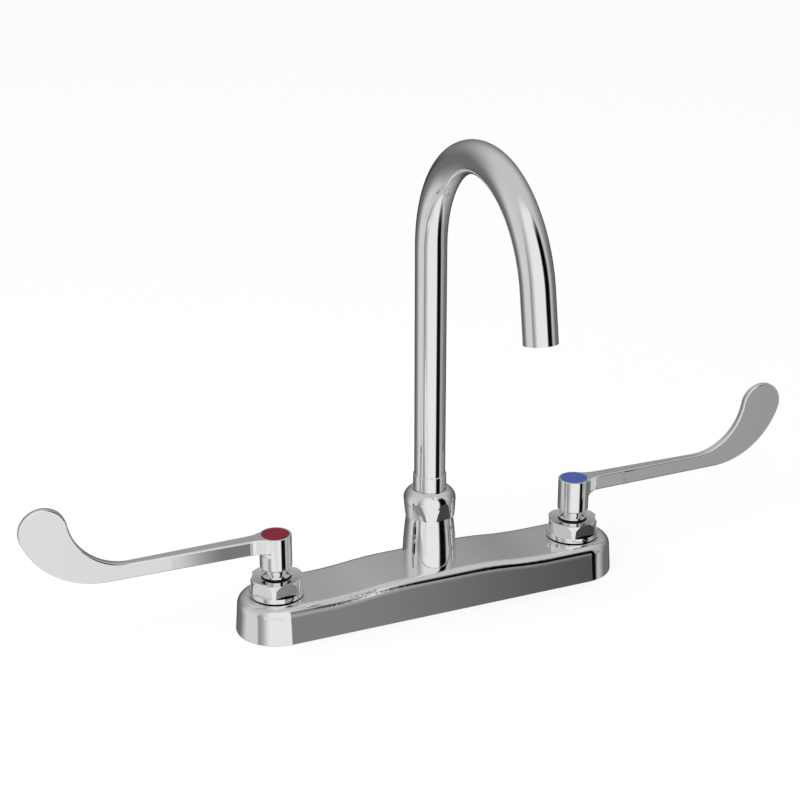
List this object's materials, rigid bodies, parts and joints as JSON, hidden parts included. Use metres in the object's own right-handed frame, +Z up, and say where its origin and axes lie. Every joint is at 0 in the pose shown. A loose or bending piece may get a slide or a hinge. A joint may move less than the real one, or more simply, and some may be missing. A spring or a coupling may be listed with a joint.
{
  "type": "deck-mounted kitchen faucet",
  "caption": "Deck-mounted kitchen faucet: long low chromed body, swivelling gooseneck spout on a central pedestal, wrist blade handles with red and blue buttons",
  "frame": {"origin": "centre of the underside of the body, on the deck surface, below the spout's swivel axis", "axes": "+X along the body from the hot handle to the cold handle, -Y to the front, where the spout points, +Z up"},
  "size_m": [0.51, 0.1725, 0.3586],
  "materials": {
    "chrome_casting": "polished chrome plate on a brass casting, very slight casting waviness",
    "chrome_tube": "mirror-polished chrome plate on drawn brass tube",
    "chrome_nuts": "polished chrome plate on turned brass",
    "chrome_handles": "polished chrome plate on a forged handle",
    "hot_enamel": "dark red, semi-gloss",
    "cold_enamel": "blue, semi-gloss",
    "shank_brass": "plain machined brass",
    "stem_brass": "plain machined brass",
    "cartridge_housing": "black glass-filled plastic",
    "spring_steel": "dark oiled spring steel",
    "insert_brass": "plain machined brass",
    "zinc_steel": "zinc-plated steel",
    "stainless": "plain stainless steel",
    "disc_ceramic": "lapped alumina",
    "gasket_rubber": "matt black sheet rubber",
    "seal_rubber": "matt black moulded rubber",
    "bearing_plastic": "white low-friction plastic",
    "insert_plastic": "light grey plastic"
  },
  "bodies": {
    "faucet_body": {"deck_body": "chrome_casting", "deck_gasket": "gasket_rubber", "spout_nut": "chrome_nuts", "shank_washers": "zinc_steel", "shank_locknuts": "shank_brass", "hot_inlet_shank": "shank_brass", "hot_bonnet_nut": "chrome_nuts", "hot_cartridge_body": "cartridge_housing", "hot_fixed_disc": "disc_ceramic", "hot_seat_seal": "seal_rubber", "hot_cartridge_o_ring": "seal_rubber", "cold_inlet_shank": "shank_brass", "cold_bonnet_nut": "chrome_nuts", "cold_cartridge_body": "cartridge_housing", "cold_fixed_disc": "disc_ceramic", "cold_seat_seal": "seal_rubber", "cold_cartridge_o_ring": "seal_rubber"},
    "spout": {"spout_ferrule": "chrome_nuts", "spout_o_rings": "seal_rubber", "spout_bearing_ring": "bearing_plastic", "gooseneck_tube": "chrome_tube", "outlet_insert": "insert_brass", "flow_straightener": "insert_plastic", "flow_restrictor": "insert_plastic", "outlet_o_ring": "seal_rubber"},
    "hot_handle": {"hot_wrist_handle": "chrome_handles", "hot_index_button": "hot_enamel", "hot_handle_screw": "stainless", "hot_valve_stem": "stem_brass", "hot_moving_disc": "disc_ceramic", "hot_stem_o_ring": "seal_rubber", "hot_stem_clip": "spring_steel"},
    "cold_handle": {"cold_wrist_handle": "chrome_handles", "cold_index_button": "cold_enamel", "cold_handle_screw": "stainless", "cold_valve_stem": "stem_brass", "cold_moving_disc": "disc_ceramic", "cold_stem_o_ring": "seal_rubber", "cold_stem_clip": "spring_steel"}
  },
  "joints": [
    {"name": "spout_swivel", "type": "hinge", "parent": "faucet_body", "child": "spout", "pos_m": [0, 0, 0.0675], "axis": [0, 0, 1], "continuous": true},
    {"name": "hot_handle_turn", "type": "hinge", "parent": "faucet_body", "child": "hot_handle", "pos_m": [-0.1016, 0, 0.0346], "axis": [0, 0, 1], "range_deg": [0, 90]},
    {"name": "cold_handle_turn", "type": "hinge", "parent": "faucet_body", "child": "cold_handle", "pos_m": [0.1016, 0, 0.0346], "axis": [0, 0, 1], "range_deg": [-90, 0]}
  ]
}
